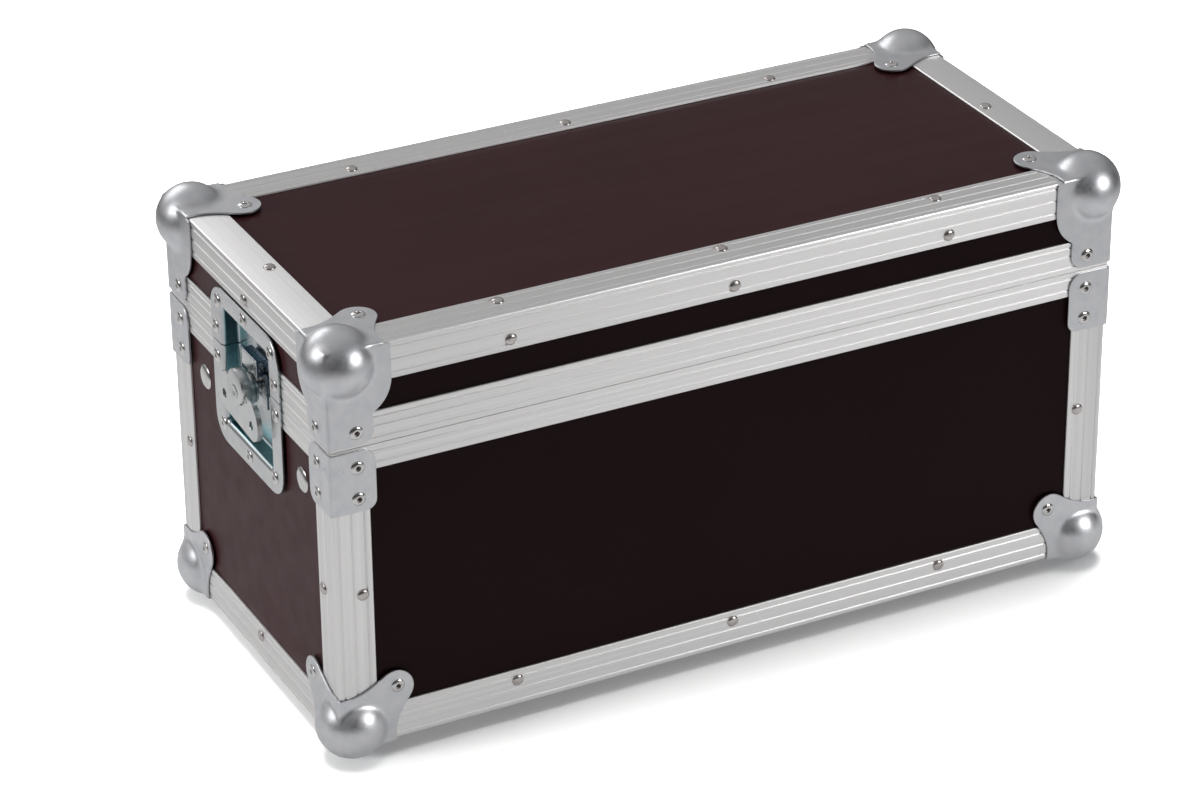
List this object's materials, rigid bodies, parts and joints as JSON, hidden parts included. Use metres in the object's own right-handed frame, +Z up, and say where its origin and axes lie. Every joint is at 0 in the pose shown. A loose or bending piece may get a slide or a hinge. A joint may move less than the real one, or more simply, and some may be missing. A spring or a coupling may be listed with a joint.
{
  "type": "flight case",
  "caption": "Rectangular plywood flight case with aluminium edges, ball corners and a lift-off lid held by a recessed turn latch at each end.",
  "frame": {"origin": "on the floor under the middle of the case, at the height of the ball corners it stands on", "axes": "+X along the case to its right end, +Y from the front to the back, +Z up"},
  "size_m": [0.5652, 0.2692, 0.2941],
  "materials": {
    "plywood": "dark brown phenolic film, satin",
    "edge_aluminium": "ribbed extrusion, satin",
    "corner_steel": "pressed steel, bright zinc plate",
    "latch_steel": "pressed steel, bright zinc plate with a blue cast"
  },
  "bodies": {
    "base": {"base_front_panel": "plywood", "base_front_edge": "edge_aluminium", "base_front_rim": "edge_aluminium", "base_right_panel": "plywood", "base_right_edge": "edge_aluminium", "base_right_front_rim": "edge_aluminium", "base_right_back_rim": "edge_aluminium", "base_back_panel": "plywood", "base_back_edge": "edge_aluminium", "base_back_rim": "edge_aluminium", "base_left_panel": "plywood", "base_left_edge": "edge_aluminium", "base_left_front_rim": "edge_aluminium", "base_left_back_rim": "edge_aluminium", "base_floor_panel": "plywood", "base_front_left_post": "edge_aluminium", "base_front_left_ball_corner": "corner_steel", "base_front_left_brace": "corner_steel", "base_front_right_post": "edge_aluminium", "base_front_right_ball_corner": "corner_steel", "base_front_right_brace": "corner_steel", "base_back_right_post": "edge_aluminium", "base_back_right_ball_corner": "corner_steel", "base_back_right_brace": "corner_steel", "base_back_left_post": "edge_aluminium", "base_back_left_ball_corner": "corner_steel", "base_back_left_brace": "corner_steel", "base_left_latch_dish": "latch_steel", "base_right_latch_dish": "latch_steel", "latch_left_spindle": "latch_steel", "latch_right_spindle": "latch_steel"},
    "lid": {"lid_front_panel": "plywood", "lid_front_edge": "edge_aluminium", "lid_front_rim": "edge_aluminium", "lid_right_panel": "plywood", "lid_right_edge": "edge_aluminium", "lid_right_front_rim": "edge_aluminium", "lid_right_back_rim": "edge_aluminium", "lid_back_panel": "plywood", "lid_back_edge": "edge_aluminium", "lid_back_rim": "edge_aluminium", "lid_left_panel": "plywood", "lid_left_edge": "edge_aluminium", "lid_left_front_rim": "edge_aluminium", "lid_left_back_rim": "edge_aluminium", "lid_top_panel": "plywood", "lid_front_left_ball_corner": "corner_steel", "lid_front_right_ball_corner": "corner_steel", "lid_back_right_ball_corner": "corner_steel", "lid_back_left_ball_corner": "corner_steel", "lid_left_keeper_dish": "latch_steel", "lid_left_keeper": "latch_steel", "lid_right_keeper_dish": "latch_steel", "lid_right_keeper": "latch_steel"},
    "left_drum": {"latch_left_drum": "latch_steel"},
    "left_wing": {"latch_left_wing": "latch_steel"},
    "left_claw": {"latch_left_claw": "latch_steel"},
    "right_drum": {"latch_right_drum": "latch_steel"},
    "right_wing": {"latch_right_wing": "latch_steel"},
    "right_claw": {"latch_right_claw": "latch_steel"}
  },
  "joints": [
    {"name": "lid_lift", "type": "slide", "parent": "base", "child": "lid", "axis": [0, 0, 1], "range_m": [0, 0.3]},
    {"name": "latch_turn_left", "type": "hinge", "parent": "base", "child": "left_drum", "pos_m": [-0.2787, 0, 0.20507], "axis": [-1, 0, 0], "range_deg": [0, 180]},
    {"name": "wing_fold_left", "type": "hinge", "parent": "left_drum", "child": "left_wing", "pos_m": [-0.2787, 0, 0.20507], "axis": [0, 0.9963, 0.0854], "range_deg": [0, 90]},
    {"name": "claw_travel_left", "type": "slide", "parent": "base", "child": "left_claw", "axis": [-0.4226, 0, 0.9063], "range_m": [0, 0.0078]},
    {"name": "latch_turn_right", "type": "hinge", "parent": "base", "child": "right_drum", "pos_m": [0.2787, 0, 0.20507], "axis": [1, 0, 0], "range_deg": [0, 180]},
    {"name": "wing_fold_right", "type": "hinge", "parent": "right_drum", "child": "right_wing", "pos_m": [0.2787, 0, 0.20507], "axis": [0, -0.9963, 0.0854], "range_deg": [0, 90]},
    {"name": "claw_travel_right", "type": "slide", "parent": "base", "child": "right_claw", "axis": [0.4226, 0, 0.9063], "range_m": [0, 0.0078]}
  ],
  "couplings": [
    {"joint": "claw_travel_left", "follows": "latch_turn_left", "m_per_rad": 0.00248},
    {"joint": "claw_travel_right", "follows": "latch_turn_right", "m_per_rad": 0.00248}
  ]
}
